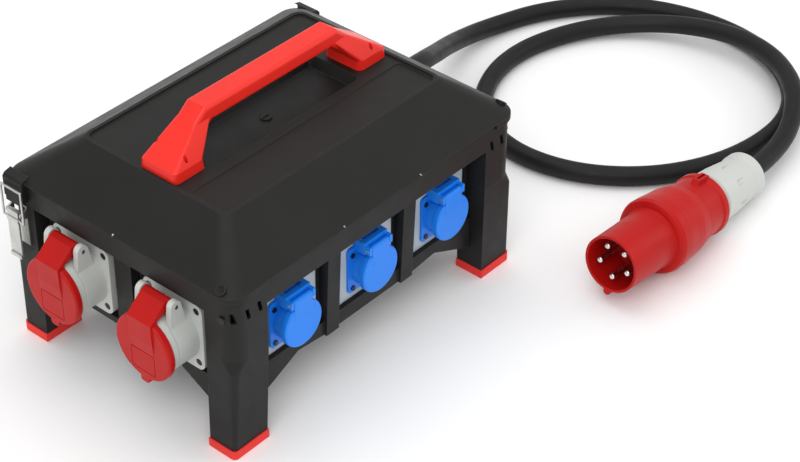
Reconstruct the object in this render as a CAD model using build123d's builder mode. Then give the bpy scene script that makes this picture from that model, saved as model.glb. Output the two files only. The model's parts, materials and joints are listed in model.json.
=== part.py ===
"""Portable power distribution box: a legged plastic housing with a hinged hood, three domestic sockets,
two five-pin CEE sockets, side latches, DIN-rail protection gear and a supply cable with a CEE plug.

Millimetres. +Z is up, the floor is Z = 0, the three domestic sockets face -Y and the CEE sockets face -X.
The geometry is drawn about the housing's own centre, and ORIGIN_SHIFT carries every finished piece so that
the origin is the middle of the bounding box of everything but the supply cable and its plug.
"""

from build123d import *
import math
import os

os.makedirs("parts", exist_ok=True)

# ---------------------------------------------------------------- driving dimensions
LENGTH, DEPTH = 400, 298  # lower edge of the hood, along X and Y
HOOD_EDGE, HOOD_TOP = 186.3, 226
PLATEAU_X, PLATEAU_Y = 296, 188
FIELD_Z = HOOD_TOP - 2  # sunken field inside the hood's raised border
TROUGH_Z = 213

BASE_X, BASE_Y, BASE_R = 197.3, 146.3, 18.3  # outer faces of the rim and the leg columns
TUB_X, TUB_Y = 180, 122  # outer faces of the tub's walls
LEG_X, LEG_Y = 153, 111.5  # inner faces of the leg columns
WALL = 3
FOOT_H, SEAM_Z = 10, 113  # height of the feet; seam between leg sleeves and housing
SHOULDER_Z = 101  # below this the legs' corners are crisp
TUB_Z, SOFFIT_Z, DECK_Z, RIM_Z = 58, 160, 163, 185.5

PIN_Y, PIN_Z = -133, 160  # hood hinge axis, along X
ARM_X, ARM_T = 178, 4
BAY_X, SOCKET_Z = [-106, 0, 106], 105.5
BAY_Y, CEE_Z, CEE_FLANGE_Z = [-60.5, 60.5], 108, 111
LID_PIN_Y, LID_PIN_Z = -142.6, 134.5
CEE_PIN_X, CEE_PIN_Z = -204, 152
LATCH_Y, LATCH_X, LATCH_Z = 131, 203.8, 151
GLAND_Y, GLAND_Z = 60.5, 104

RAIL_Z = 99.5
NOSE_Z = 170
MODULE = 18
CABLE_D = 21.5

RUNNING = 0.05  # radial clearance of a pin in its knuckle
GAP = 0.4  # clearance between pieces that move past each other
SIDES = (-1, 1)
CORNERS = [(sx, sy) for sx in SIDES for sy in SIDES]
ALONG_X, ALONG_Y = Rot(0, 90, 0), Rot(90, 0, 0)
ON_FLOOR = (Align.CENTER, Align.CENTER, Align.MIN)
ORIGIN_SHIFT = Pos(5.7, 0, 0)


def save(builder, name, place=Location()):
    """Label a finished piece, carry it to the common origin and write its STEP file."""
    piece = ORIGIN_SHIFT * place * builder.part
    piece.label = name
    export_step(piece, f"parts/{name}.step")


def corner_section(half_x, half_y, radius, inner_x, inner_y, corners):
    """Corners of a rounded rectangle, added to the current sketch."""
    RectangleRounded(2 * half_x, 2 * half_y, radius)
    with Locations(*[(sx * (inner_x + 40), sy * (inner_y + 40)) for sx, sy in corners]):
        Rectangle(80, 80, mode=Mode.INTERSECT)


def tub_plan(inset):
    """Tub plan in the current sketch: a rectangle notched at its corners for the legs."""
    Rectangle(2 * (TUB_X - inset), 2 * (TUB_Y - inset))
    with GridLocations(2 * (LEG_X - inset + 20), 2 * (LEG_Y - inset + 20), 2, 2):
        Rectangle(40, 40, mode=Mode.SUBTRACT)


def column_plan(inset):
    """Plan of the four leg columns in the current sketch."""
    RectangleRounded(2 * (BASE_X - inset), 2 * (BASE_Y - inset), BASE_R - inset)
    Rectangle(2 * (LEG_X + inset), 2 * BASE_Y, mode=Mode.SUBTRACT)
    Rectangle(2 * BASE_X, 2 * (LEG_Y + inset), mode=Mode.SUBTRACT)


# ---------------------------------------------------------------- housing
PILLAR_W, PILLAR_Y = 17, 136
SIDE_PILLAR_W, SIDE_PILLAR_X = 22, 191
BAND_Y, BAND_X, BAND_TOP = 129, 186, 72
PILLAR_DRAFT = 4.5  # the pillars lean in by this much at their foot
FRONT_ARCH = [(LEG_X, BAND_TOP), (LEG_X, 34), (145, 38), (98, 59.5), (62, 56)]
SIDE_ARCH = [(LEG_Y, BAND_TOP), (LEG_Y, 34), (100, 43), (60, 65)]

with BuildPart() as base_housing:
    with BuildSketch(Plane.XY.offset(TUB_Z)):
        tub_plan(0)
    extrude(amount=DECK_Z - TUB_Z)
    with BuildSketch(Plane.XY.offset(SEAM_Z)):
        column_plan(0)
    extrude(amount=SOFFIT_Z - SEAM_Z)
    with BuildSketch(Plane.XY.offset(SOFFIT_Z)):
        RectangleRounded(2 * BASE_X, 2 * BASE_Y, BASE_R)
    extrude(amount=RIM_Z - SOFFIT_Z)
    # pillars between the bays
    with BuildSketch(Plane.XY.offset(TUB_Z - 3)):
        with GridLocations(SIDE_PILLAR_X + TUB_X, 0, 2, 1):
            Rectangle(SIDE_PILLAR_X - TUB_X, SIDE_PILLAR_W)
    extrude(amount=SOFFIT_Z - TUB_Z + 3)
    for side in SIDES:
        for x in (-53, 53):
            with BuildSketch(Plane.YZ.offset(x - PILLAR_W / 2)):
                with BuildLine():
                    Polyline(
                        (side * TUB_Y, TUB_Z - 3), (side * (PILLAR_Y - PILLAR_DRAFT), TUB_Z - 3),
                        (side * PILLAR_Y, SOFFIT_Z), (side * TUB_Y, SOFFIT_Z), close=True,
                    )
                make_face()
            extrude(amount=PILLAR_W)
    # lower bands that arch down to the legs
    for side in SIDES:
        with BuildSketch(Plane.XZ.offset(-side * TUB_Y)):
            with BuildLine():
                Polyline(*FRONT_ARCH, *[(-x, z) for x, z in reversed(FRONT_ARCH)], close=True)
            make_face()
        extrude(amount=-side * (BAND_Y - TUB_Y))
        with BuildSketch(Plane.YZ.offset(side * TUB_X)):
            with BuildLine():
                Polyline(*SIDE_ARCH, *[(-y, z) for y, z in reversed(SIDE_ARCH)], close=True)
            make_face()
        extrude(amount=side * (BAND_X - TUB_X))
    # hollows of the tub, the rim and the columns
    with BuildSketch(Plane.XY.offset(TUB_Z + WALL)):
        tub_plan(WALL)
    extrude(amount=RIM_Z, mode=Mode.SUBTRACT)
    with BuildSketch(Plane.XY.offset(DECK_Z)):
        RectangleRounded(2 * (BASE_X - WALL), 2 * (BASE_Y - WALL), BASE_R - WALL)
    extrude(amount=RIM_Z, mode=Mode.SUBTRACT)
    with BuildSketch(Plane.XY.offset(SEAM_Z + WALL)):
        column_plan(WALL)
    extrude(amount=RIM_Z, mode=Mode.SUBTRACT)
    # front corners of the rim, rounded about the hinge axis so that the hood swings past them
    for x in (164, -204):
        with BuildSketch(Plane.YZ.offset(x)):
            with Locations((PIN_Y - 15, PIN_Z + 20)):
                Rectangle(30, 40)
            with Locations((PIN_Y, PIN_Z)):
                Circle(25.9, mode=Mode.SUBTRACT)
        extrude(amount=40, mode=Mode.SUBTRACT)
    # openings for the sockets, the cable gland and the hinge pins
    with Locations(*[Pos(x, -TUB_Y, SOCKET_Z) * ALONG_Y for x in BAY_X]):
        Cylinder(21.5, 12, mode=Mode.SUBTRACT)
    with Locations(*[Pos(-TUB_X, y, CEE_Z) * ALONG_X for y in BAY_Y]):
        Cylinder(30, 12, mode=Mode.SUBTRACT)
    with Locations(Pos(TUB_X, GLAND_Y, GLAND_Z) * ALONG_X):
        Cylinder(12, 12, mode=Mode.SUBTRACT)
    with Locations(*[Pos(side * BASE_X, PIN_Y, PIN_Z) * ALONG_X for side in SIDES]):
        Cylinder(3, 12, mode=Mode.SUBTRACT)
    # slanted vent slots in the front columns
    for x in (-191.5, -177, -162, 162, 177, 191.5):
        with BuildSketch(Plane.XZ.offset(BASE_Y - 8)):
            with BuildLine():
                Polyline((x - 3.5, 168), (x + 1, 168), (x + 3.5, 156), (x - 1, 156), close=True)
            make_face()
        extrude(amount=12, mode=Mode.SUBTRACT)
    # posts under the inner cover and stands for the DIN rail
    with BuildSketch(Plane.XY.offset(TUB_Z + WALL)):
        with GridLocations(300, 200, 2, 2):
            Circle(5)
    extrude(amount=DECK_Z - TUB_Z - WALL)
    with BuildSketch(Plane.XY.offset(TUB_Z + WALL)):
        with GridLocations(236, 0, 2, 1):
            Rectangle(14, 30)
    extrude(amount=RAIL_Z - 7.5 - TUB_Z - WALL)
    with Locations(*[(150 * sx, 100 * sy, DECK_Z) for sx, sy in CORNERS]):
        Cylinder(2, 20, mode=Mode.SUBTRACT)
save(base_housing, "base_housing")

with BuildPart() as lid_hinge_pins:
    for side in SIDES:
        with Locations(Pos(side * (BASE_X + 175) / 2, PIN_Y, PIN_Z) * ALONG_X):
            Cylinder(3, BASE_X - 175)
        with Locations(Pos(side * (BASE_X + 0.5), PIN_Y, PIN_Z) * ALONG_X):
            Cylinder(3.8, 1)
save(lid_hinge_pins, "lid_hinge_pins")


def make_leg(corner):
    """Hollow leg sleeve, lofted from its foot to the seam."""
    with BuildPart() as leg:
        with BuildSketch(Plane.XY.offset(FOOT_H)):
            corner_section(199, 143, 4, 156, 111.5, [corner])
        with BuildSketch(Plane.XY.offset(SHOULDER_Z)):
            corner_section(BASE_X + 0.2, BASE_Y - 0.4, 7, LEG_X + 0.4, LEG_Y, [corner])
        loft()
        with BuildSketch(Plane.XY.offset(SHOULDER_Z)):
            corner_section(BASE_X + 0.2, BASE_Y - 0.4, 7, LEG_X + 0.4, LEG_Y, [corner])
        with BuildSketch(Plane.XY.offset(SEAM_Z)):
            corner_section(BASE_X, BASE_Y, BASE_R, LEG_X, LEG_Y, [corner])
        loft()
        with BuildSketch(Plane.XY.offset(SEAM_Z)):
            corner_section(BASE_X - 4.5, BASE_Y - 4.5, 13.8, LEG_X + 4.5, LEG_Y + 4.5, [corner])
        extrude(amount=-90, mode=Mode.SUBTRACT)
    return leg


def make_foot(corner):
    """Rubber shoe under a leg, a little proud of it."""
    with BuildPart() as foot:
        with BuildSketch():
            corner_section(200.3, 144.2, 5, 155.3, 110.8, [corner])
        extrude(amount=FOOT_H)
        fillet(foot.faces().sort_by(Axis.Z)[0].edges(), 1.2)
    return foot


for corner in CORNERS:
    place = ("front" if corner[1] < 0 else "rear") + ("_left" if corner[0] < 0 else "_right")
    save(make_leg(corner), f"leg_{place}")
    save(make_foot(corner), f"foot_{place}")


# ---------------------------------------------------------------- hood
with BuildPart() as lid_hood:
    with BuildSketch(Plane.XY.offset(HOOD_EDGE)):
        RectangleRounded(LENGTH, DEPTH, 21)
    with BuildSketch(Plane.XY.offset(HOOD_TOP)):
        RectangleRounded(PLATEAU_X, PLATEAU_Y, 12)
    loft()
    with BuildSketch(Plane.XY.offset(HOOD_EDGE)):
        RectangleRounded(LENGTH - 4.8, DEPTH - 4.8, 18.6)
    with BuildSketch(Plane.XY.offset(HOOD_TOP - 5)):
        RectangleRounded(PLATEAU_X - 5, PLATEAU_Y - 5, 10)
    loft(mode=Mode.SUBTRACT)
    # lobes of the skirt at the front corners
    with BuildSketch(Plane.XY.offset(HOOD_EDGE)):
        RectangleRounded(LENGTH, DEPTH, 21)
        RectangleRounded(LENGTH - 4.8, DEPTH - 4.8, 18.6, mode=Mode.SUBTRACT)
        with Locations(*[(side * 185, PIN_Y - 10) for side in SIDES]):
            Rectangle(40, 20, mode=Mode.INTERSECT)
    extrude(amount=-5.7)
    # sunken field inside a thin border, one step lower towards the front
    with BuildSketch(Plane.XY.offset(HOOD_TOP)):
        RectangleRounded(PLATEAU_X - 7, PLATEAU_Y - 7, 9)
    extrude(amount=FIELD_Z - HOOD_TOP, mode=Mode.SUBTRACT)
    with BuildSketch(Plane.XY.offset(FIELD_Z)):
        with Locations((0, -66.5)):
            RectangleRounded(PLATEAU_X - 12, 46, 4)
    extrude(amount=-1, mode=Mode.SUBTRACT)
    # finger trough under the handle, with a slotted screw plug in its floor
    with BuildSketch(Plane.XY.offset(FIELD_Z)):
        RectangleRounded(200, 72, 9)
    extrude(amount=TROUGH_Z - 3 - FIELD_Z, taper=24)
    with BuildSketch(Plane.XY.offset(FIELD_Z)):
        RectangleRounded(194, 66, 7)
    extrude(amount=TROUGH_Z - FIELD_Z, taper=24, mode=Mode.SUBTRACT)
    with Locations((0, -1, TROUGH_Z)):
        Cylinder(7, 0.8, mode=Mode.SUBTRACT)
        Cylinder(5.6, 1.4, align=ON_FLOOR)
        Box(9, 1.6, 4, mode=Mode.SUBTRACT)
    # round holes low on the side slopes, square to them
    with Locations(*[Pos(side * 193.7, -131, 191) * Rot(0, side * 37.4, 0) for side in SIDES]):
        Cylinder(4.3, 12, mode=Mode.SUBTRACT)
    # ribs that carry the hinge arms
    for side in SIDES:
        with BuildSketch(Plane.XZ.offset(83)):
            with BuildLine():
                Polyline(
                    (side * 170, 196.5), (side * 181, 196.5), (side * 181, 199), (side * 170, 206.5), close=True
                )
            make_face()
        extrude(amount=20)
    # keepers of the side latches, each a tab with a steel-plate seat
    for side in SIDES:
        with BuildSketch(Plane.XZ.offset(-144)):
            with BuildLine():
                Polyline(
                    (side * 197.7, 166), (side * 203.5, 166), (side * 203.5, 187), (side * 201, 190),
                    (side * 193, 192), (side * 197.7, 188), close=True,
                )
            make_face()
        extrude(amount=26)
        with Locations((side * 204, LATCH_Y, 169)):
            Box(1, 20, 14)
save(lid_hood, "lid_hood")

# gooseneck arms, outlined about the hinge axis
ARM_OUTLINE = [(0, -7), (20, 4.5), (44, 8), (48, 14), (48, 36.5), (32, 36.5), (30, 22), (17, 13.5), (-4, 6)]
with BuildPart() as lid_hinge_arms:
    for side in SIDES:
        with BuildSketch(Plane.YZ.offset(side * ARM_X - ARM_T / 2)):
            with BuildLine():
                Polyline(*[(PIN_Y + y, PIN_Z + z) for y, z in ARM_OUTLINE], close=True)
            make_face()
            with Locations((PIN_Y, PIN_Z)):
                Circle(7)
                Circle(3 + RUNNING, mode=Mode.SUBTRACT)
        extrude(amount=ARM_T)
save(lid_hinge_arms, "lid_hinge_arms")

HANDLE_FOOT = 10
with BuildPart() as handle:
    with BuildSketch(Plane.XZ.offset(13)):
        with BuildLine():
            Polyline(
                (-140, FIELD_Z), (-140, 233), (-133, 238), (-88, 274), (88, 274), (133, 238), (140, 233),
                (140, FIELD_Z), (108, FIELD_Z), (108, 233), (80, 257), (-80, 257), (-108, 233), (-108, FIELD_Z),
                close=True,
            )
        make_face()
    extrude(amount=-25)
    grip_edges = handle.edges().filter_by(lambda e: e.center().Z > 237 and abs(e.center().Y) > 5)
    fillet(grip_edges, 4)
    with BuildSketch(Plane.XY.offset(FIELD_Z)):
        with Locations((-124, -3.5), (124, -3.5)):
            RectangleRounded(40, 47, 6)
    extrude(amount=HANDLE_FOOT, taper=6)
    for side in SIDES:
        # the arm widens into its foot
        with BuildSketch(Plane.XY.offset(FIELD_Z + HANDLE_FOOT)):
            with Locations((side * 124, -3.5)):
                RectangleRounded(37.8, 44.8, 5)
        with BuildSketch(Plane.XY.offset(262)):
            with Locations((side * 92, -0.5)):
                RectangleRounded(20, 24.4, 2)
        loft()
    for side in SIDES:
        for y, depth in ((-11, 22), (10, -22)):
            with BuildSketch(Plane.XZ.offset(-y)):
                with BuildLine():
                    Polyline(
                        (side * 118, 240.5), (side * 97, 257.5), (side * 95, 255), (side * 116, 238), close=True
                    )
                make_face()
            extrude(amount=-depth, mode=Mode.SUBTRACT)
    with Locations(*[(sx * 125, -3.5 + sy * 18.5, FIELD_Z + HANDLE_FOOT) for sx, sy in CORNERS]):
        Cylinder(1.9, 40, mode=Mode.SUBTRACT)
save(handle, "handle")

with BuildPart() as handle_screws:
    with Locations(*[(sx * 125, -3.5 + sy * 18.5, FIELD_Z) for sx, sy in CORNERS]):
        Cylinder(1.9, HANDLE_FOOT - 0.5, align=ON_FLOOR)
save(handle_screws, "handle_screws")


# ---------------------------------------------------------------- inner cover and protection gear
with BuildPart() as inner_cover:
    with BuildSketch(Plane.XY.offset(DECK_Z)):
        RectangleRounded(340, 236, 8)
        RectangleRounded(5 * 2 * MODULE + 4, 46, 3, mode=Mode.SUBTRACT)
        with GridLocations(300, 200, 2, 2):
            Circle(2, mode=Mode.SUBTRACT)
    extrude(amount=WALL)
save(inner_cover, "inner_cover")

with BuildPart() as cover_screws:
    with Locations(*[(150 * sx, 100 * sy, DECK_Z) for sx, sy in CORNERS]):
        with Locations((0, 0, -8)):
            Cylinder(2, WALL + 8, align=ON_FLOOR)
        with Locations((0, 0, WALL)):
            Cylinder(4, 2.2, align=ON_FLOOR)
save(cover_screws, "cover_screws")

with BuildPart() as din_rail:
    with BuildSketch(Plane.YZ.offset(-130)):
        with BuildLine():
            Polyline(
                (-17.5, RAIL_Z), (-12.5, RAIL_Z), (-12.5, RAIL_Z - 6.3), (12.5, RAIL_Z - 6.3), (12.5, RAIL_Z),
                (17.5, RAIL_Z), (17.5, RAIL_Z - 1.2), (13.7, RAIL_Z - 1.2), (13.7, RAIL_Z - 7.5),
                (-13.7, RAIL_Z - 7.5), (-13.7, RAIL_Z - 1.2), (-17.5, RAIL_Z - 1.2), close=True,
            )
        make_face()
    extrude(amount=260)
save(din_rail, "din_rail")

RCD_X, THREE_POLE_X = -3 * MODULE, MODULE / 2
SINGLE_X = [2.5 * MODULE, 3.5 * MODULE, 4.5 * MODULE]
TOGGLE_Z, TOGGLE_R = NOSE_Z - 5, 5


def add_device(x, modules, toggle_w):
    """One DIN-rail device: body, nose through the inner cover and the recess of its toggle."""
    width = modules * MODULE - 0.2
    with Locations((x, 0, RAIL_Z)):
        Box(width, 85, 44, align=ON_FLOOR)
        Box(width, 45, NOSE_Z - RAIL_Z, align=ON_FLOOR)
    with Locations((x, 0, TOGGLE_Z)):
        Box(toggle_w + 2 * GAP, 2 * TOGGLE_R + 4, 11, mode=Mode.SUBTRACT)
    with Locations(Pos(x, 0, TOGGLE_Z) * ALONG_X):
        Cylinder(1.5 + RUNNING, toggle_w + 5, mode=Mode.SUBTRACT)


def make_toggle(x, toggle_w):
    """Rocking toggle with stub axles, standing in its upper position."""
    with BuildPart() as toggle:
        with Locations(Pos(x, 0, TOGGLE_Z) * ALONG_X):
            Cylinder(TOGGLE_R, toggle_w)
            Cylinder(1.5, toggle_w + 4)
        with Locations(Pos(x, 0, TOGGLE_Z) * Rot(-25, 0, 0)):
            Box(toggle_w, 4, 13, align=ON_FLOOR)
    return toggle


with BuildPart() as rcd_body:
    add_device(RCD_X, 4, 12)
    with Locations((RCD_X - 22, 0, NOSE_Z)):
        Box(7, 7, 16, mode=Mode.SUBTRACT)
save(rcd_body, "rcd_body")
save(make_toggle(RCD_X, 12), "rcd_toggle")

with BuildPart() as rcd_test_button:
    with Locations((RCD_X - 22, 0, NOSE_Z - 5)):
        Box(6.2, 6.2, 8, align=ON_FLOOR)
    fillet(rcd_test_button.faces().sort_by(Axis.Z)[-1].edges(), 0.8)
save(rcd_test_button, "rcd_test_button")

with BuildPart() as breaker_three_pole:
    add_device(THREE_POLE_X, 3, 44)
save(breaker_three_pole, "breaker_three_pole")
save(make_toggle(THREE_POLE_X, 44), "breaker_toggle_three_pole")

with BuildPart() as breakers_single:
    for x in SINGLE_X:
        add_device(x, 1, 8)
save(breakers_single, "breakers_single")
for number, x in enumerate(SINGLE_X, start=1):
    save(make_toggle(x, 8), f"breaker_toggle_single_{number}")

with BuildPart() as terminal_block:
    with Locations((90, 85, TUB_Z + WALL)):
        Box(96, 24, 26, align=ON_FLOOR)
    with Locations((90, 85, TUB_Z + WALL + 26)):
        with GridLocations(12, 12, 8, 2):
            Cylinder(3, 12, mode=Mode.SUBTRACT)
save(terminal_block, "terminal_block")


# ---------------------------------------------------------------- domestic sockets
with BuildPart() as socket_plates:
    for x in BAY_X:
        with BuildSketch(Plane.XZ.offset(TUB_Y)):
            with Locations((x, 111)):
                RectangleRounded(77, 77, 4)
            with Locations((x, SOCKET_Z)):
                Circle(21.5, mode=Mode.SUBTRACT)
        extrude(amount=2)
save(socket_plates, "socket_plates")

FLANGE_Y, RING_Y = -126.5, -139
SCREW_SPOTS = [(-19, 85), (19, 85), (-19, 123.5), (19, 123.5)]


def make_socket(x):
    """Socket body with its flange, shrouded well, contact holes and hinge box."""
    with BuildPart() as socket:
        with BuildSketch(Plane.XZ.offset(124)):
            with Locations((x, 106)):
                RectangleRounded(50, 52, 4)
            with Locations(*[(x + dx, z) for dx, z in SCREW_SPOTS]):
                Circle(1.5, mode=Mode.SUBTRACT)
        extrude(amount=2.5)
        with Locations(Pos(x, (RING_Y - 98) / 2, SOCKET_Z) * ALONG_Y):
            Cylinder(21.5, -98 - RING_Y)
        with Locations((x, -131.5, 135)):
            Box(32, 15, 13)
        with Locations(*[(x + side * 14.2, -142, 134.3) for side in SIDES]):
            Box(3.6, 7, 8.5)
        with Locations(Pos(x, RING_Y + 8.75, SOCKET_Z) * ALONG_Y):
            Cylinder(19.25, 17.5, mode=Mode.SUBTRACT)
        with Locations(*[Pos(x + side * 9.5, -116.5, SOCKET_Z) * ALONG_Y for side in SIDES]):
            Cylinder(2.5, 10, mode=Mode.SUBTRACT)
        with Locations(Pos(x, LID_PIN_Y, LID_PIN_Z) * ALONG_X):
            Cylinder(1.5, 34, mode=Mode.SUBTRACT)
        with Locations((x, -131, 141)):
            Box(22, 5, 8, mode=Mode.SUBTRACT)
        # clearance for the lid's knuckle between its two ears
        with Locations((x, -142.5, LID_PIN_Z)):
            Box(24.8, 6.4, 20, mode=Mode.SUBTRACT)
    return socket


def make_socket_lid(x):
    """Domed round lid with a strap and a knuckle over the hinge pin."""
    with BuildPart() as lid:
        with Locations(Pos(x, RING_Y - GAP - 3, SOCKET_Z + 0.5) * ALONG_Y):
            Cylinder(24.5, 6)
        fillet(lid.faces().sort_by(Axis.Y)[0].edges(), 2.2)
        with Locations((x, RING_Y - GAP - 3.1, 125)):
            Box(23.6, 6.2, 19)
        with Locations(Pos(x, LID_PIN_Y, LID_PIN_Z) * ALONG_X):
            Cylinder(3.1, 23.6)
            Cylinder(1.5 + RUNNING, 24, mode=Mode.SUBTRACT)
    return lid


BAY_NAMES = ("left", "middle", "right")
for x, name in zip(BAY_X, BAY_NAMES):
    save(make_socket(x), f"socket_body_{name}")
    save(make_socket_lid(x), f"socket_lid_{name}")

with BuildPart() as socket_lid_pins:
    with Locations(*[Pos(x, LID_PIN_Y, LID_PIN_Z) * ALONG_X for x in BAY_X]):
        Cylinder(1.5, 33)
save(socket_lid_pins, "socket_lid_pins")

with BuildPart() as socket_contacts:
    for x in BAY_X:
        with Locations(*[Pos(x + side * 9.5, -116.5, SOCKET_Z) * ALONG_Y for side in SIDES]):
            Cylinder(2.5, 8)
            Cylinder(2, 9, mode=Mode.SUBTRACT)
        with BuildSketch(Plane.XZ.offset(122)):
            with Locations((x, SOCKET_Z)):
                Circle(19.25)
                Circle(17.9, mode=Mode.SUBTRACT)
                with Locations((-12.5, 0), (12.5, 0)):
                    Rectangle(20, 40, mode=Mode.SUBTRACT)
        extrude(amount=12)
save(socket_contacts, "socket_contacts")

with BuildPart() as socket_screws:
    for x in BAY_X:
        with Locations(*[Pos(x + dx, -125.25, z) * ALONG_Y for dx, z in SCREW_SPOTS]):
            Cylinder(1.5, 2.5)
        with Locations(*[Pos(x + dx, FLANGE_Y - 0.6, z) * ALONG_Y for dx, z in SCREW_SPOTS]):
            Cylinder(2.7, 1.2)
save(socket_screws, "socket_screws")


# ---------------------------------------------------------------- five-pin CEE sockets
CEE_FLANGE_X, CEE_FACE_X = -187.5, -220
CEE_SCREWS = [(dy, CEE_FLANGE_Z + dz) for dy in (-30, 30) for dz in (-29.5, 29.5)]
CEE_PINS = [(15.5 * math.sin(math.radians(72 * k)), 15.5 * math.cos(math.radians(72 * k))) for k in range(5)]


def make_cee_body(y):
    """CEE socket: square flange, round shroud with a deep bore, and hinge ears over it."""
    with BuildPart() as cee:
        with BuildSketch(Plane.YZ.offset(CEE_FLANGE_X)):
            with Locations((y, CEE_FLANGE_Z)):
                RectangleRounded(75, 75, 8)
        extrude(amount=-TUB_X - CEE_FLANGE_X)
        with Locations(Pos((CEE_FACE_X - 164) / 2, y, CEE_Z) * ALONG_X):
            Cylinder(30, -164 - CEE_FACE_X)
        with Locations(Pos((CEE_FACE_X + CEE_FLANGE_X) / 2, y, CEE_Z) * ALONG_X):
            Cylinder(33, CEE_FLANGE_X - CEE_FACE_X)
        for side in SIDES:
            with BuildSketch(Plane.XZ.offset(-y - side * 20 - 3)):
                with BuildLine():
                    Polyline(
                        (CEE_PIN_X - 6.5, CEE_PIN_Z), (CEE_PIN_X - 9, 128), (CEE_PIN_X + 12, 128),
                        (CEE_PIN_X + 6.5, CEE_PIN_Z), close=True,
                    )
                make_face()
                with Locations((CEE_PIN_X, CEE_PIN_Z)):
                    Circle(6.5)
            extrude(amount=6)
        with Locations(Pos(CEE_FACE_X + 14.5, y, CEE_Z) * ALONG_X):
            Cylinder(28, 29, mode=Mode.SUBTRACT)
        with Locations(Pos(CEE_PIN_X, y, CEE_PIN_Z) * ALONG_Y):
            Cylinder(2, 60, mode=Mode.SUBTRACT)
        with Locations(*[Pos(CEE_FLANGE_X, y + dy, z) * ALONG_X for dy, z in CEE_SCREWS]):
            Cylinder(3.8, 6, mode=Mode.SUBTRACT)
        # parting groove round the shroud
        with Locations(Pos(CEE_FACE_X + 7, y, CEE_Z) * ALONG_X):
            Cylinder(34, 1, mode=Mode.SUBTRACT)
            Cylinder(32.3, 1)
            Cylinder(28, 1, mode=Mode.SUBTRACT)
    return cee


def make_cee_lid(y):
    """Round lid with a pull nub and a sloping arm up to its knuckle."""
    with BuildPart() as lid:
        with Locations(Pos(CEE_FACE_X - GAP - 3.5, y, CEE_Z - 1.5) * ALONG_X):
            Cylinder(35, 7)
        fillet(lid.faces().sort_by(Axis.X)[0].edges(), 2.5)
        with Locations((CEE_FACE_X - GAP - 3.5, y, CEE_Z - 37.5)):
            Box(6, 11, 7)
        fillet(lid.edges().filter_by(Axis.X).filter_by(lambda e: e.center().Z < CEE_Z - 38), 3)
        with BuildSketch(Plane.XZ.offset(-y - 15)):
            with BuildLine():
                Polyline(
                    (CEE_PIN_X, 157), (CEE_PIN_X - 7, 156), (CEE_FACE_X - GAP - 9, 140),
                    (CEE_FACE_X - GAP - 8.4, 118), (CEE_FACE_X - GAP - 7, 104), (CEE_FACE_X - GAP - 4, 104),
                    (CEE_FACE_X - GAP - 4, 128), (CEE_FACE_X - GAP, 128), (CEE_FACE_X - GAP, 141.8),
                    (CEE_PIN_X, 147.5), close=True,
                )
            make_face()
        extrude(amount=30)
        with BuildSketch(Plane.YZ.offset(CEE_FACE_X - GAP - 7)):
            with Locations((y, 92)):
                Rectangle(30, 24)
                Rectangle(28.4, 22.4, mode=Mode.SUBTRACT)
        extrude(amount=0.7, mode=Mode.SUBTRACT)
        with Locations(Pos(CEE_PIN_X, y, CEE_PIN_Z) * ALONG_Y):
            Cylinder(5, 33)
            Cylinder(2 + RUNNING, 34, mode=Mode.SUBTRACT)
        with Locations(Pos(CEE_FACE_X - GAP - 1.5, y, CEE_Z) * ALONG_X):
            Cylinder(29, 3, mode=Mode.SUBTRACT)
    return lid


for y, name in zip(BAY_Y, ("front", "rear")):
    save(make_cee_body(y), f"cee_body_{name}")
    save(make_cee_lid(y), f"cee_lid_{name}")

with BuildPart() as cee_lid_pins:
    with Locations(*[Pos(CEE_PIN_X, y, CEE_PIN_Z) * ALONG_Y for y in BAY_Y]):
        Cylinder(2, 47)
save(cee_lid_pins, "cee_lid_pins")

with BuildPart() as cee_inserts:
    for y in BAY_Y:
        with Locations(Pos(-202, y, CEE_Z) * ALONG_X):
            Cylinder(24, 22)
        with Locations(*[Pos(-204, y + dy, CEE_Z + dz) * ALONG_X for dy, dz in CEE_PINS]):
            Cylinder(3.2, 19, mode=Mode.SUBTRACT)
save(cee_inserts, "cee_inserts")

with BuildPart() as cee_contacts:
    for y in BAY_Y:
        with Locations(*[Pos(-201, y + dy, CEE_Z + dz) * ALONG_X for dy, dz in CEE_PINS]):
            Cylinder(3.2, 12)
            Cylinder(2.6, 13, mode=Mode.SUBTRACT)
save(cee_contacts, "cee_contacts")

with BuildPart() as cee_screws:
    for y in BAY_Y:
        with Locations(*[Pos(CEE_FLANGE_X + 1.9, y + dy, z) * ALONG_X for dy, z in CEE_SCREWS]):
            Cylinder(3.8, 2.2)
save(cee_screws, "cee_screws")


# ---------------------------------------------------------------- right side: cover plates and cable gland
with BuildPart() as side_cover_plates:
    with BuildSketch(Plane.YZ.offset(TUB_X)):
        with Locations(*[(y, CEE_FLANGE_Z) for y in BAY_Y]):
            RectangleRounded(75, 75, 6)
        with Locations((GLAND_Y, GLAND_Z)):
            Circle(12, mode=Mode.SUBTRACT)
    extrude(amount=3)
save(side_cover_plates, "side_cover_plates")

GLAND_END = 216
with BuildPart() as gland_body:
    with BuildSketch(Plane.YZ.offset(183)):
        with Locations((GLAND_Y, GLAND_Z)):
            RegularPolygon(23, 6)
    extrude(amount=8)
    with Locations(Pos(191, GLAND_Y, GLAND_Z) * ALONG_X):
        Cylinder(12, 46)
    with BuildSketch(Plane.YZ.offset(171)):
        with Locations((GLAND_Y, GLAND_Z)):
            RegularPolygon(20, 6)
            Circle(12, mode=Mode.SUBTRACT)
    extrude(amount=6)
save(gland_body, "gland_body")

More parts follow.
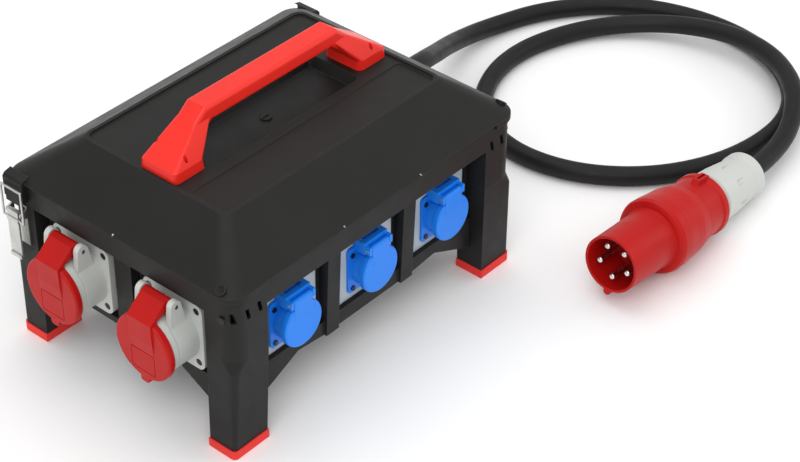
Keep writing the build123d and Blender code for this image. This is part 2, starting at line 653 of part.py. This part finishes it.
with BuildPart() as gland_nut:
    with BuildSketch(Plane.YZ.offset(191)):
        with Locations((GLAND_Y, GLAND_Z)):
            Circle(19.5)
    extrude(amount=17)
    with BuildSketch(Plane.YZ.offset(208)):
        with Locations((GLAND_Y, GLAND_Z)):
            Circle(19.5)
    extrude(amount=GLAND_END - 208, taper=30)
    with Locations(Pos(202.5, GLAND_Y, GLAND_Z) * ALONG_X):
        Cylinder(12, 23, mode=Mode.SUBTRACT)
    with BuildSketch(Plane.YZ.offset(193)):
        with Locations((GLAND_Y, GLAND_Z)):
            with PolarLocations(19.5, 12):
                Circle(1)
    extrude(amount=12, mode=Mode.SUBTRACT)
save(gland_nut, "gland_nut")


# ---------------------------------------------------------------- side latches
with BuildPart() as latch_plates:
    for side in SIDES:
        with Locations((side * (BASE_X + 0.75), LATCH_Y, 137)):
            Box(1.5, 21, 46)
        with Locations((side * (BASE_X + 0.75), LATCH_Y, LATCH_Z)):
            Box(4, 17, 14, mode=Mode.SUBTRACT)
        for dy in (-9.5, 9.5):
            with BuildSketch(Plane.XZ.offset(-LATCH_Y - dy - 1)):
                with BuildLine():
                    Polyline(
                        (side * BASE_X, LATCH_Z - 6), (side * LATCH_X, LATCH_Z - 3), (side * LATCH_X, LATCH_Z + 3),
                        (side * BASE_X, LATCH_Z + 6), close=True,
                    )
                make_face()
                with Locations((side * LATCH_X, LATCH_Z)):
                    Circle(3)
                    Circle(1.5, mode=Mode.SUBTRACT)
            extrude(amount=2)
save(latch_plates, "latch_plates")

with BuildPart() as latch_pins:
    with Locations(*[Pos(side * LATCH_X, LATCH_Y, LATCH_Z) * ALONG_Y for side in SIDES]):
        Cylinder(1.5, 21)
save(latch_pins, "latch_pins")

BAIL_X, BAIL_Z, WIRE_R = 206.2, 145, 1.2


def make_lever(side):
    """Latch lever: barrel on the pin, flat grip plate and the block that holds the bail."""
    with BuildPart() as lever:
        with Locations((side * 206.5, LATCH_Y, 128)):
            Box(2, 15, 54)
        with Locations((side * 206.2, LATCH_Y, BAIL_Z)):
            Box(4.4, 15, 5)
        with Locations((side * 207.2, LATCH_Y, 103)):
            Box(3.4, 15, 4)
        with Locations(Pos(side * LATCH_X, LATCH_Y, LATCH_Z) * ALONG_Y):
            Cylinder(3.2, 15)
            Cylinder(1.5 + RUNNING, 16, mode=Mode.SUBTRACT)
        with Locations(Pos(side * BAIL_X, LATCH_Y, BAIL_Z) * ALONG_Y):
            Cylinder(WIRE_R + RUNNING, 16, mode=Mode.SUBTRACT)
    return lever


def make_bail(side):
    """Closed wire loop of the latch, its lower bar running through the lever's block."""
    with BuildPart() as bail:
        for dy in (-13.8, 13.8):
            with Locations((side * BAIL_X, LATCH_Y + dy, BAIL_Z)):
                Cylinder(WIRE_R, 35, align=ON_FLOOR)
                Sphere(WIRE_R)
            with Locations((side * BAIL_X, LATCH_Y + dy, BAIL_Z + 35)):
                Sphere(WIRE_R)
        with Locations(*[Pos(side * BAIL_X, LATCH_Y, z) * ALONG_Y for z in (BAIL_Z, BAIL_Z + 35)]):
            Cylinder(WIRE_R, 27.6)
    return bail


for side, name in zip(SIDES, ("left", "right")):
    save(make_lever(side), f"latch_lever_{name}")
    save(make_bail(side), f"latch_bail_{name}")


# ---------------------------------------------------------------- supply cable
PLUG_AT = (453.8, -262.9, 26)  # cable end of the plug, which lies on the floor on its collar and rear ring
PLUG_PITCH = 5.3  # its nose points along -X and up by this angle, degrees
LAST_RUN = 70
CABLE_ROUTE = [
    (GLAND_END, GLAND_Y, GLAND_Z), (294, 60.5, 104), (362, 95, 68), (438, 131, 32), (515, 143, 10.8),
    (602, 113, 10.8), (678, 42, 10.8), (707, -60, 10.8), (686, -160, 10.8), (607, -230, 10.8),
    (500, -232, 10.8), (405, -187, 10.8), (345, -106, 10.8), (340, -12, 10.8), (397, 58, 10.8),
    (492, 87, 10.8), (592, 56, 12), (656, -12, 18), (673, -96, 30), (654, -170, 37),
    (600, -234, 38.5),
    (PLUG_AT[0] + LAST_RUN * math.cos(math.radians(PLUG_PITCH)), PLUG_AT[1],
     PLUG_AT[2] - LAST_RUN * math.sin(math.radians(PLUG_PITCH))),
    PLUG_AT,
]


def bend_radii(route):
    """Radius of each bend: 0.45 of the shorter run beside it over the tangent of half its turn."""
    points = [Vector(*point) for point in route]
    radii = []
    for before, corner, after in zip(points, points[1:], points[2:]):
        turn = math.radians((corner - before).get_angle(after - corner))
        radii.append(0.45 * min((corner - before).length, (after - corner).length) / math.tan(turn / 2))
    return radii


radii = bend_radii(CABLE_ROUTE)
with BuildPart() as supply_cable:
    with BuildLine() as cable_line:
        FilletPolyline(*CABLE_ROUTE, radius=radii)
    with BuildSketch(Plane(origin=CABLE_ROUTE[0], z_dir=(1, 0, 0))):
        Circle(CABLE_D / 2)
    sweep()
save(supply_cable, "supply_cable")
print("bend radii", [round(radius) for radius in radii])
cable_length = sum(edge.length for edge in cable_line.edges())
print("cable length", round(cable_length), "volume ratio",
      round(supply_cable.part.volume / (cable_length * math.pi * CABLE_D**2 / 4), 4))


# ---------------------------------------------------------------- CEE plug, drawn along +Z from its cable end
PLUG_PLACE = Pos(*PLUG_AT) * Rot(0, PLUG_PITCH - 90, 0)
PLUG_LENGTH, NUT_LENGTH, SPLIT_Z = 246, 80, 150  # whole plug; cable nut; joint of housing and shroud
FACE_R, FLOOR_Z, PIN_CIRCLE_R, PIN_R = 30.5, 198, 17.5, 3.4
COLLAR_R = 41

with BuildPart() as plug_gland_nut:
    with BuildSketch(Plane.XZ):
        with BuildLine():
            Polyline(
                (0, 0), (15, 0), (23, 1), (26.5, 5), (26.5, 13), (24.8, 17), (25.4, 24), (28.4, 52), (29, 74),
                (27, 76), (26, NUT_LENGTH), (0, NUT_LENGTH), close=True,
            )
        make_face()
    revolve(axis=Axis.Z)
    with BuildSketch(Plane.XY.offset(30)):
        with PolarLocations(27.6, 8):
            Rectangle(1.8, 5)
    extrude(amount=22, mode=Mode.SUBTRACT)
save(plug_gland_nut, "plug_gland_nut", PLUG_PLACE)

with BuildPart() as plug_housing:
    with BuildSketch(Plane.XZ):
        with BuildLine():
            Polyline(
                (0, NUT_LENGTH), (28, NUT_LENGTH), (30, 82), (33, 83), (34, 85), (34, 91), (32.5, 93), (33.5, 118),
                (36, 123), (38.5, 135), (39.5, SPLIT_Z), (0, SPLIT_Z), close=True,
            )
        make_face()
    revolve(axis=Axis.Z)
    with BuildSketch(Plane.XZ.offset(-4)):
        with BuildLine():
            Polyline((28, 86), (36.5, 86), (38, 89), (38, 104), (28, 112), close=True)
        make_face()
    extrude(amount=8)
    with BuildSketch(Plane.XZ.offset(-1.5)):
        with BuildLine():
            Polyline((34.6, 88), (39, 88), (39, 102), (34.6, 102), close=True)
        make_face()
    extrude(amount=3, mode=Mode.SUBTRACT)
save(plug_housing, "plug_housing", PLUG_PLACE)

with BuildPart() as plug_shroud:
    with BuildSketch(Plane.XZ):
        with BuildLine():
            Polyline(
                (0, SPLIT_Z), (39.5, SPLIT_Z), (COLLAR_R - 0.4, 161), (COLLAR_R, 172), (COLLAR_R - 1.5, 176),
                (36, 177.5), (33, 178), (32, 182), (31.5, 188), (FACE_R, PLUG_LENGTH),
                (FACE_R - 2.6, PLUG_LENGTH), (FACE_R - 2.6, FLOOR_Z), (0, FLOOR_Z), close=True,
            )
        make_face()
    revolve(axis=Axis.Z)
    with BuildSketch(Plane.XY.offset(190)):
        with Locations((-FACE_R - 1.5, 0)):
            Circle(4)
        Circle(FACE_R - 1, mode=Mode.SUBTRACT)
    extrude(amount=PLUG_LENGTH - 190)
    with BuildSketch(Plane.XY.offset(FLOOR_Z)):
        with PolarLocations(PIN_CIRCLE_R, 5, start_angle=36):
            Circle(PIN_R)
    extrude(amount=-12, mode=Mode.SUBTRACT)
save(plug_shroud, "plug_shroud", PLUG_PLACE)

with BuildPart() as plug_pins:
    with BuildSketch(Plane.XY.offset(FLOOR_Z - 12)):
        with PolarLocations(PIN_CIRCLE_R, 5, start_angle=36):
            Circle(PIN_R)
    extrude(amount=55)
    fillet(plug_pins.faces().group_by(Axis.Z)[-1].edges(), 2)
save(plug_pins, "plug_pins", PLUG_PLACE)
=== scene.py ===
"""Portable power distribution box: camera, supply cord, materials, small details, floor and light."""

import json
import math

import bmesh
import bpy
from mathutils import Matrix, Vector


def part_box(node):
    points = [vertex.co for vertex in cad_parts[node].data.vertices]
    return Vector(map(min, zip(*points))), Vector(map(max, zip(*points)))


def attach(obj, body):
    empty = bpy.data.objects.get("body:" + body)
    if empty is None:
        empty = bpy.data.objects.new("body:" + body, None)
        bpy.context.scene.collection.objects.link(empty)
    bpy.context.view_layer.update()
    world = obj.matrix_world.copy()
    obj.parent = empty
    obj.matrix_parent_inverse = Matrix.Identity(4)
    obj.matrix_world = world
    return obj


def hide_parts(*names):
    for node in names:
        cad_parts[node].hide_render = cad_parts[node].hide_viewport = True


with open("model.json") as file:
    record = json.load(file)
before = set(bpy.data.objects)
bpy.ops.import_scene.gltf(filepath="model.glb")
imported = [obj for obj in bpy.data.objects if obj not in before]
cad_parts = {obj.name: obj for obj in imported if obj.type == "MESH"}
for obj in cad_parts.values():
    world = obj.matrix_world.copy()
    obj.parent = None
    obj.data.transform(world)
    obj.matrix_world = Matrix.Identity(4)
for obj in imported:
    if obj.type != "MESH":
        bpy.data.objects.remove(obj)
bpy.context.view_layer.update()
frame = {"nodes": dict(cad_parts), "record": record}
record = frame["record"]
slot_of = {part["node"]: part["material_slot"] for part in record["subparts"]}

# the middle of the housing along X, in the frame that the CAD and this script share
MIDDLE = sum(corner[0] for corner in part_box("base_housing")) / 2


# ---------------------------------------------------------------- camera
VIEW_ANGLES = (-49.43, 37.42, 0.45)  # azimuth, elevation and roll, degrees
CAMERA_PLACE = Vector((MIDDLE - 1.1849, -1.1829, 1.3563))
LENS, SENSOR_WIDTH = 96.37, 36


def place_camera():
    """Camera at the viewing angle: azimuth and elevation of the line of sight, with a slight roll."""
    azimuth, elevation, roll = (math.radians(angle) for angle in VIEW_ANGLES)
    back = Vector((
        math.sin(azimuth) * math.cos(elevation),
        -math.cos(azimuth) * math.cos(elevation),
        math.sin(elevation),
    ))
    level = Vector((math.cos(azimuth), math.sin(azimuth), 0))
    upright = back.cross(level)
    right = math.cos(roll) * level + math.sin(roll) * upright
    up = math.cos(roll) * upright - math.sin(roll) * level
    data = bpy.data.cameras.new("camera")
    data.lens, data.sensor_width = LENS, SENSOR_WIDTH
    camera = bpy.data.objects.new("camera", data)
    place = Matrix((right, up, back)).transposed().to_4x4()
    place.translation = CAMERA_PLACE
    camera.matrix_world = place
    bpy.context.collection.objects.link(camera)
    bpy.context.scene.camera = camera


place_camera()


# ---------------------------------------------------------------- materials
class Tree:
    """A material's node tree, with short calls for the nodes used here."""

    def __init__(self, name):
        self.material = bpy.data.materials.new(name)
        self.material.use_nodes = True
        self.nodes, self.links = self.material.node_tree.nodes, self.material.node_tree.links
        self.shader = self.nodes["Principled BSDF"]
        self.point = self.nodes.new("ShaderNodeTexCoord").outputs["Object"]

    def add(self, kind, inputs=None, **settings):
        node = self.nodes.new(kind)
        for key, value in settings.items():
            setattr(node, key, value)
        for key, value in (inputs or {}).items():
            if isinstance(value, bpy.types.NodeSocket):
                self.links.new(value, node.inputs[key])
            else:
                node.inputs[key].default_value = value
        return node

    def stretched(self, scale):
        return self.add("ShaderNodeMapping", {"Vector": self.point, "Scale": scale}).outputs["Vector"]

    def noise(self, scale, detail=2.0, vector=None):
        inputs = {"Vector": vector or self.point, "Scale": scale, "Detail": detail}
        return self.add("ShaderNodeTexNoise", inputs).outputs["Fac"]

    def ramp(self, factor, stops):
        node = self.add("ShaderNodeValToRGB", {"Fac": factor})
        while len(node.color_ramp.elements) < len(stops):
            node.color_ramp.elements.new(0.5)
        for element, (position, color) in zip(node.color_ramp.elements, stops):
            element.position, element.color = position, (*color, 1)
        return node.outputs["Color"]

    def spread(self, factor, low, high):
        inputs = {"Value": factor, "From Min": 0.3, "From Max": 0.7, "To Min": low, "To Max": high}
        return self.add("ShaderNodeMapRange", inputs).outputs["Result"]

    def mix(self, factor, a, b):
        node = self.add("ShaderNodeMix", data_type="RGBA")
        for socket, value in ((node.inputs["Factor"], factor), (node.inputs[6], a), (node.inputs[7], b)):
            if isinstance(value, bpy.types.NodeSocket):
                self.links.new(value, socket)
            else:
                socket.default_value = value
        return node.outputs[2]

    def edge_mask(self, radius, gain):
        """1 where the surface turns sharply within the radius, 0 on flats."""
        soft = self.add("ShaderNodeBevel", {"Radius": radius}, samples=4).outputs["Normal"]
        flat = self.add("ShaderNodeNewGeometry").outputs["Normal"]
        dot = self.add("ShaderNodeVectorMath", {0: soft, 1: flat}, operation="DOT_PRODUCT").outputs["Value"]
        inputs = {"Value": dot, "From Min": 1.0, "From Max": 1.0 - 1.0 / gain, "To Min": 0.0, "To Max": 1.0}
        return self.add("ShaderNodeMapRange", inputs).outputs["Result"]

    def bump(self, height, strength, distance, normal=None):
        inputs = {"Height": height, "Strength": strength, "Distance": distance}
        if normal is not None:
            inputs["Normal"] = normal
        return self.add("ShaderNodeBump", inputs).outputs["Normal"]

    def plug_in(self, socket, value):
        self.links.new(value, self.shader.inputs[socket])


def shade(color, factor):
    """The color made lighter or darker."""
    return tuple(min(1.0, channel * factor) for channel in color)


def moulded(
    name, color, rough, grain=1800, depth=0.35, worn=0.25, edge_highlight_factor=1.6, coat=0.0, specular=0.5
):
    """Moulded plastic or rubber: fine skin grain, faint mottling, softened edges with a patchy painted
    highlight along them.
    """
    tree = Tree(name)
    cloud = tree.noise(14, 3.0)
    body = tree.ramp(cloud, [(0.3, shade(color, 1 - worn * 0.4)), (0.7, shade(color, 1 + worn * 0.4))])
    # painted highlight: colour lightened along sharp edges, broken into patches by noise
    edge_highlight_mask = tree.edge_mask(0.0011, 9)
    patchy_edge_highlight = tree.add(
        "ShaderNodeMath", {0: edge_highlight_mask, 1: tree.noise(90, 3.0)}, operation="MULTIPLY"
    ).outputs["Value"]
    tree.plug_in("Base Color", tree.mix(patchy_edge_highlight, body, (*shade(color, edge_highlight_factor), 1)))
    tree.plug_in("Roughness", tree.spread(tree.noise(55, 4.0), rough - 0.06, rough + 0.06))
    soft = tree.add("ShaderNodeBevel", {"Radius": 0.0009}, samples=4).outputs["Normal"]
    tree.plug_in("Normal", tree.bump(tree.noise(grain, 2.0), depth, 0.00012, soft))
    tree.shader.inputs["Coat Weight"].default_value = coat
    tree.shader.inputs["Coat Roughness"].default_value = 0.18
    tree.shader.inputs["Specular IOR Level"].default_value = specular
    return tree.material


def metal(name, color, rough, brushed=(1, 1, 1), depth=0.25):
    """Bare or plated metal with drawn scratches, dull patches and softened edges."""
    tree = Tree(name)
    lines = tree.noise(900, 3.0, tree.stretched(brushed))
    patches = tree.noise(60, 3.0)
    tree.plug_in("Base Color", tree.ramp(patches, [(0.3, shade(color, 0.82)), (0.7, shade(color, 1.06))]))
    tree.plug_in("Roughness", tree.spread(lines, rough - 0.08, rough + 0.12))
    soft = tree.add("ShaderNodeBevel", {"Radius": 0.0004}, samples=4).outputs["Normal"]
    tree.plug_in("Normal", tree.bump(lines, depth, 0.00005, soft))
    tree.shader.inputs["Metallic"].default_value = 1.0
    return tree.material


finish = {
    # the black shell gets the strongest painted edge highlight
    "black_shell": moulded(
        "black_shell", (0.0125, 0.012, 0.0113), 0.46, worn=0.2, edge_highlight_factor=4.0, specular=0.2
    ),
    "red_rubber": moulded(
        "red_rubber", (0.78, 0.034, 0.028), 0.55, grain=2600, depth=0.3, edge_highlight_factor=1.2, specular=0.25
    ),
    "red_handle": moulded(
        "red_handle", (0.78, 0.02, 0.011), 0.34, grain=2400, depth=0.2, worn=0.12, edge_highlight_factor=1.25,
        coat=0.1, specular=0.3,
    ),
    "grey_plate": moulded(
        "grey_plate", (0.48, 0.54, 0.585), 0.45, grain=2400, depth=0.2, worn=0.1, edge_highlight_factor=1.15,
        specular=0.35,
    ),
    "blue_socket": moulded(
        "blue_socket", (0.008, 0.205, 0.82), 0.34, grain=2600, depth=0.15, worn=0.12, edge_highlight_factor=1.4,
        coat=0.05, specular=0.3,
    ),
    "light_grey": moulded(
        "light_grey", (0.545, 0.56, 0.535), 0.42, grain=2400, depth=0.2, worn=0.08, edge_highlight_factor=1.12,
        specular=0.35,
    ),
    "red_cee": moulded(
        "red_cee", (0.44, 0.006, 0.0045), 0.4, grain=2400, depth=0.2, worn=0.15, edge_highlight_factor=1.5,
        specular=0.18,
    ),
    "dark_insert": moulded("dark_insert", (0.10, 0.008, 0.006), 0.5, edge_highlight_factor=1.5),
    "cable_rubber": moulded(
        "cable_rubber", (0.009, 0.009, 0.0088), 0.48, grain=2200, depth=0.5, worn=0.3, edge_highlight_factor=1.0,
        specular=0.22,
    ),
    "device_grey": moulded(
        "device_grey", (0.66, 0.67, 0.66), 0.45, grain=2400, depth=0.2, worn=0.08, edge_highlight_factor=1.1
    ),
    "toggle_dark": moulded(
        "toggle_dark", (0.02, 0.021, 0.026), 0.35, grain=2400, depth=0.2, worn=0.2, edge_highlight_factor=2.0
    ),
    "button_yellow": moulded(
        "button_yellow", (0.78, 0.48, 0.03), 0.4, grain=2400, depth=0.2, worn=0.1, edge_highlight_factor=1.2
    ),
    "zinc_steel": metal("zinc_steel", (0.62, 0.62, 0.60), 0.32, brushed=(1, 1, 0.06)),
    "black_screw": metal("black_screw", (0.05, 0.05, 0.05), 0.4),
    "bright_pin": metal("bright_pin", (0.78, 0.77, 0.74), 0.2, brushed=(0.1, 1, 1), depth=0.15),
    "brass_contact": metal("brass_contact", (0.75, 0.52, 0.22), 0.3, brushed=(0.1, 1, 1)),
}

for name, node in frame["nodes"].items():
    for material_slot in node.material_slots:
        material_slot.material = finish[slot_of[name]]


# ---------------------------------------------------------------- supply cord
CORD_DIAMETER = 0.0215
PLUG_PITCH = math.radians(5.3)
CORD_END = Vector((MIDDLE + 0.4538, -0.2629, 0.0260))
LAST_RUN = 0.07  # straight run of the cord into the plug


def cord_route():
    """Control points of the cord, from the gland round its two loops to the plug, in metres."""
    points = [
        (0.216, 0.0605, 0.104), (0.294, 0.0605, 0.104), (0.362, 0.095, 0.068), (0.438, 0.131, 0.032),
        (0.515, 0.143, 0.0108), (0.602, 0.113, 0.0108), (0.678, 0.042, 0.0108), (0.707, -0.060, 0.0108),
        (0.686, -0.160, 0.0108), (0.607, -0.230, 0.0108), (0.500, -0.232, 0.0108), (0.405, -0.187, 0.0108),
        (0.345, -0.106, 0.0108), (0.340, -0.012, 0.0108), (0.397, 0.058, 0.0108), (0.492, 0.087, 0.0108),
        (0.592, 0.056, 0.012), (0.656, -0.012, 0.018), (0.673, -0.096, 0.030), (0.654, -0.170, 0.037),
        (0.600, -0.234, 0.0385),
    ]
    route = [Vector((MIDDLE + x, y, z)) for x, y, z in points]
    approach = CORD_END + LAST_RUN * Vector((math.cos(PLUG_PITCH), 0, -math.sin(PLUG_PITCH)))
    return route + [approach, CORD_END]


def make_cord():
    """The supply cord as one smooth round curve."""
    curve = bpy.data.curves.new("supply_cord", "CURVE")
    curve.dimensions = "3D"
    curve.bevel_depth = CORD_DIAMETER / 2
    curve.bevel_resolution = 8
    curve.use_fill_caps = True
    route = cord_route()
    spline = curve.splines.new("NURBS")
    spline.points.add(len(route) - 1)
    for point, place in zip(spline.points, route):
        point.co = (*place, 1)
    spline.order_u = 3
    spline.use_endpoint_u = True
    spline.resolution_u = 12
    cord = bpy.data.objects.new("supply_cord", curve)
    bpy.context.collection.objects.link(cord)
    curve.materials.append(finish["cable_rubber"])
    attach(cord, "housing")
    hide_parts("supply_cable")


make_cord()


# ---------------------------------------------------------------- small details
HOOD_EDGE_X, HOOD_EDGE_Y, HOOD_EDGE_Z = 0.2, 0.149, 0.1866  # the hood's lower edge
PILLAR_X = 0.053  # the pillars between the front bays, each side of the middle
GROMMET_X, GROMMET_Y, GROMMET_Z = 0.1937, -0.131, 0.1911  # on the hood's side slopes
# size of the bright wedges that paint highlights on the hood's lower edge
HIGHLIGHT_WEDGE_SINK, HIGHLIGHT_WEDGE_DEPTH, HIGHLIGHT_WEDGE_TAPER = 0.0006, 0.0011, 0.0002


def finished(name, shape, slot, body):
    """Turn a bmesh into a piece that rides on a body and carries a slot's finish."""
    bmesh.ops.recalc_face_normals(shape, faces=shape.faces)
    mesh = bpy.data.meshes.new(name)
    shape.to_mesh(mesh)
    shape.free()
    mesh.materials.append(finish[slot])
    piece = bpy.data.objects.new(name, mesh)
    bpy.context.collection.objects.link(piece)
    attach(piece, body)


def turned(name, profile, spots, slot, body, segments=48):
    """Turned pieces in one mesh: the profile of radii and heights, spun about the axis at each spot."""
    shape = bmesh.new()
    for spot, axis in spots:
        turn = Vector((0, 0, 1)).rotation_difference(Vector(axis)).to_matrix()
        rings = []
        for radius, height in profile:
            angles = [2 * math.pi * step / segments for step in range(segments)]
            around = [
                Vector((radius * math.cos(angle), radius * math.sin(angle), height)) for angle in angles
            ]
            rings.append([shape.verts.new(turn @ point + Vector(spot)) for point in around])
        for lower, upper in zip(rings, rings[1:]):
            for step in range(segments):
                after = (step + 1) % segments
                shape.faces.new((lower[step], lower[after], upper[after], upper[step]))
        shape.faces.new(reversed(rings[0]))
        shape.faces.new(rings[-1])
    finished(name, shape, slot, body)


def make_hood_grommets():
    """Dished grommets in the round holes low on the hood's side slopes."""
    profile = [
        (0.0040, -0.0025), (0.0040, -0.0001), (0.0057, -0.0001), (0.0057, 0.0004), (0.0053, 0.0008),
        (0.0045, 0.0009), (0.0039, 0.0005), (0.0036, -0.0006), (0.0012, -0.0010),
    ]
    spots = [
        ((MIDDLE + side * GROMMET_X, GROMMET_Y, GROMMET_Z), (side * 0.607, 0, 0.795)) for side in (-1, 1)
    ]
    turned("hood_grommets", profile, spots, "black_shell", "hood")


def make_edge_highlight_wedges():
    """Small bright wedges along the hood's lower edge, over the pillars between the bays: painted highlight
    where the pillar corners catch the light.
    """
    shape = bmesh.new()
    front_up = Vector((0, 0.055, 0.0397)).normalized()
    left_up = Vector((0.052, 0, 0.0397)).normalized()
    spots = [
        (Vector((MIDDLE + x, -HOOD_EDGE_Y, HOOD_EDGE_Z)), Vector((1, 0, 0)), front_up)
        for x in (-PILLAR_X, PILLAR_X)
    ]
    spots.append((Vector((MIDDLE - HOOD_EDGE_X, 0, HOOD_EDGE_Z)), Vector((0, -1, 0)), left_up))
    for foot, along, up in spots:
        out = along.cross(up)
        low = foot - HIGHLIGHT_WEDGE_SINK * out
        base = [low + 0.0006 * along, low - 0.0010 * along + 0.0026 * up, low + 0.0012 * along + 0.0026 * up]
        lower = [shape.verts.new(point) for point in base]
        upper = [
            shape.verts.new(point + (HIGHLIGHT_WEDGE_DEPTH - HIGHLIGHT_WEDGE_TAPER * index) * out)
            for index, point in enumerate(base)
        ]
        shape.faces.new(reversed(lower))
        shape.faces.new(upper)
        for index in range(3):
            after = (index + 1) % 3
            shape.faces.new((lower[index], lower[after], upper[after], upper[index]))
    # zinc finish on the wedges: painted highlight on the black hood
    finished("hood_edge_highlight_wedges", shape, "zinc_steel", "hood")


make_hood_grommets()
make_edge_highlight_wedges()


# ---------------------------------------------------------------- floor and light
def make_floor():
    """Plain pale floor."""
    mesh = bpy.data.meshes.new("floor")
    shape = bmesh.new()
    bmesh.ops.create_grid(shape, x_segments=4, y_segments=4, size=6)
    shape.to_mesh(mesh)
    shape.free()
    floor = bpy.data.objects.new("floor", mesh)
    bpy.context.collection.objects.link(floor)
    tree = Tree("floor_paper")
    stops = [(0.3, (0.90, 0.90, 0.90)), (0.7, (0.93, 0.93, 0.93))]
    tree.plug_in("Base Color", tree.ramp(tree.noise(3, 3.0), stops))
    tree.plug_in("Roughness", tree.spread(tree.noise(40), 0.75, 0.85))
    mesh.materials.append(tree.material)


def area_light(name, place, target, size, power):
    """Rectangular light at a place, aimed at a target."""
    data = bpy.data.lights.new(name, "AREA")
    data.shape, data.size, data.size_y, data.energy = "RECTANGLE", size[0], size[1], power
    light = bpy.data.objects.new(name, data)
    light.location = place
    light.rotation_euler = (Vector(target) - Vector(place)).to_track_quat("-Z", "Y").to_euler()
    bpy.context.collection.objects.link(light)


def make_light():
    """White surroundings with three broad lights."""
    world = bpy.data.worlds.new("studio")
    world.use_nodes = True
    background = world.node_tree.nodes["Background"]
    background.inputs["Color"].default_value = (1, 1, 1, 1)
    background.inputs["Strength"].default_value = 0.75
    bpy.context.scene.world = world
    area_light("key", (-1.6, -1.2, 2.2), (0.1, 0, 0.1), (1.6, 1.6), 26)
    area_light("top", (0.3, 0.3, 2.6), (0.2, 0, 0), (2.4, 2.4), 22)
    area_light("side", (1.9, -1.6, 1.2), (0.2, 0, 0.1), (1.4, 1.4), 7)
    bpy.context.scene.view_settings.view_transform = "Standard"


make_floor()
make_light()
